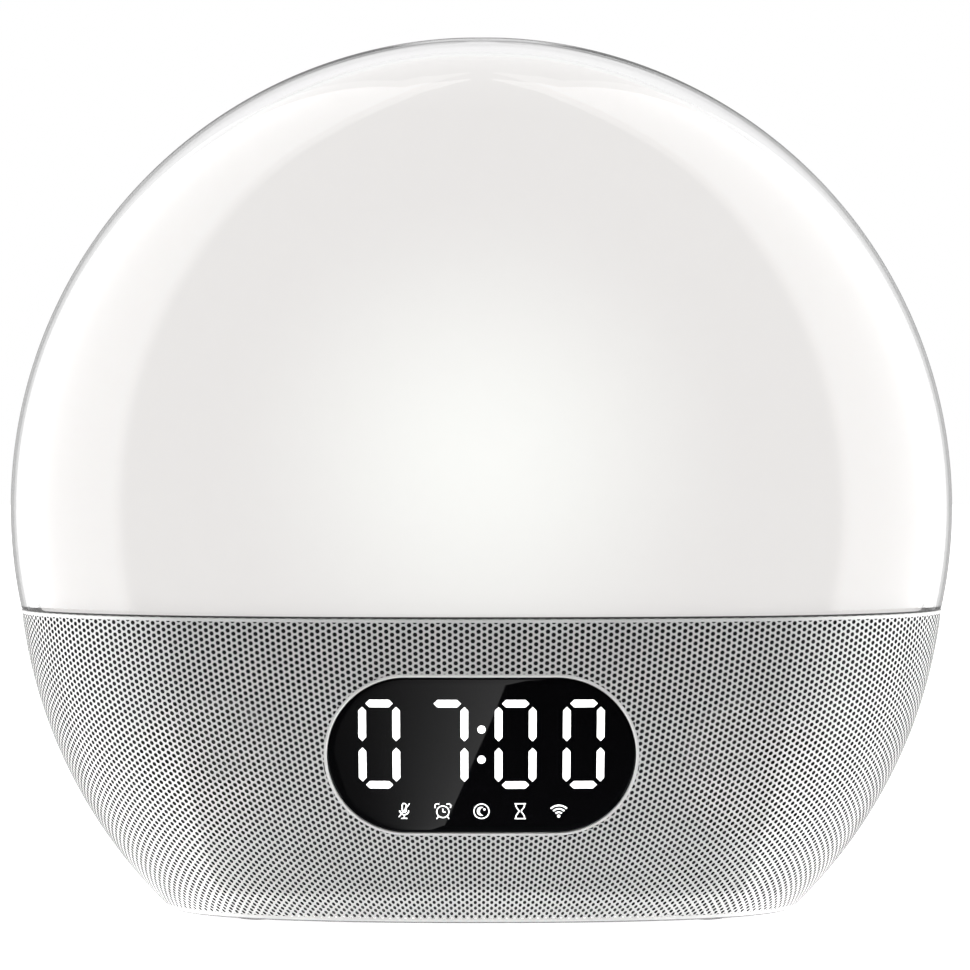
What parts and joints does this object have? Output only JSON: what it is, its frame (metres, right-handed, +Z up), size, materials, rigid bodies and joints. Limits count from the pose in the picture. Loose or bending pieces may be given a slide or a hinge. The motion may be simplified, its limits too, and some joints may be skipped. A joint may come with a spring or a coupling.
{
  "type": "sunrise alarm clock",
  "caption": "Flattened round sunrise alarm clock: clear dome over a milky diffuser, on a perforated metal base with a black digital display and rear push buttons.",
  "frame": {"origin": "on the table, under the middle of the clock", "axes": "+Z up, the display faces -Y, +X to the right seen from the rear panel's opposite side, that is to the viewer's right when the display is read"},
  "size_m": [0.1902, 0.1024, 0.1765],
  "materials": {
    "clear_shell": "clear polished acrylic",
    "milky_diffuser": "satin milk-white",
    "black_rubber": "matte",
    "grille_metal": "fine satin paint",
    "black_plastic": "fine moulded texture",
    "grey_plastic": "fine moulded texture",
    "white_plastic": "satin",
    "display_black": "polished",
    "lit_white": "lit from behind",
    "bare_aluminium": "brushed",
    "white_board": "solder mask",
    "green_board": "solder mask",
    "emitter_yellow": "phosphor gel",
    "steel": "plated",
    "magnet_black": "ground ferrite",
    "speaker_paper": "pressed paper",
    "speaker_frame": "matte",
    "chip_black": "moulded epoxy",
    "ribbon_white": "film"
  },
  "bodies": {
    "clock_body": {"outer_dome": "clear_shell", "diffuser_dome": "milky_diffuser", "dome_gasket": "black_rubber", "reflector_tray": "white_plastic", "heat_spreader": "bare_aluminium", "led_board": "white_board", "led_emitters": "emitter_yellow", "grille_shell": "grille_metal", "base_chassis": "black_plastic", "bottom_cover": "black_plastic", "rubber_feet": "black_rubber", "bottom_screws": "steel", "display_window": "display_black", "time_digits": "lit_white", "display_frame": "black_plastic", "light_wells": "black_plastic", "display_board": "green_board", "display_leds": "lit_white", "microphone": "steel", "main_board": "green_board", "main_board_screws": "steel", "processor_chip": "chip_black", "radio_module": "steel", "power_capacitors": "bare_aluminium", "cell_holder": "black_plastic", "backup_cell": "steel", "display_ribbon": "ribbon_white", "rear_ribbon": "ribbon_white", "rear_panel": "grey_plastic", "rear_board": "green_board", "rear_board_screws": "steel", "tact_switches": "chip_black", "usb_power_inlet": "steel", "speaker_frame_left": "speaker_frame", "speaker_magnet_left": "magnet_black", "speaker_surround_left": "black_rubber", "speaker_cone_left": "speaker_paper", "speaker_screws_left": "steel", "speaker_frame_right": "speaker_frame", "speaker_magnet_right": "magnet_black", "speaker_surround_right": "black_rubber", "speaker_cone_right": "speaker_paper", "speaker_screws_right": "steel"},
    "light_button": {"light_button": "grey_plastic"},
    "alarm_button": {"alarm_button": "grey_plastic"},
    "sound_button": {"sound_button": "grey_plastic"},
    "volume_down_button": {"volume_down_button": "grey_plastic"},
    "volume_up_button": {"volume_up_button": "grey_plastic"}
  },
  "joints": [
    {"name": "light_button_press", "type": "slide", "parent": "clock_body", "child": "light_button", "axis": [0, -1, 0], "range_m": [0, 0.0008], "stiffness_N_per_m": 400},
    {"name": "alarm_button_press", "type": "slide", "parent": "clock_body", "child": "alarm_button", "axis": [0, -1, 0], "range_m": [0, 0.0008], "stiffness_N_per_m": 400},
    {"name": "sound_button_press", "type": "slide", "parent": "clock_body", "child": "sound_button", "axis": [0, -1, 0], "range_m": [0, 0.0008], "stiffness_N_per_m": 400},
    {"name": "volume_down_button_press", "type": "slide", "parent": "clock_body", "child": "volume_down_button", "axis": [0, -1, 0], "range_m": [0, 0.0008], "stiffness_N_per_m": 400},
    {"name": "volume_up_button_press", "type": "slide", "parent": "clock_body", "child": "volume_up_button", "axis": [0, -1, 0], "range_m": [0, 0.0008], "stiffness_N_per_m": 400}
  ]
}
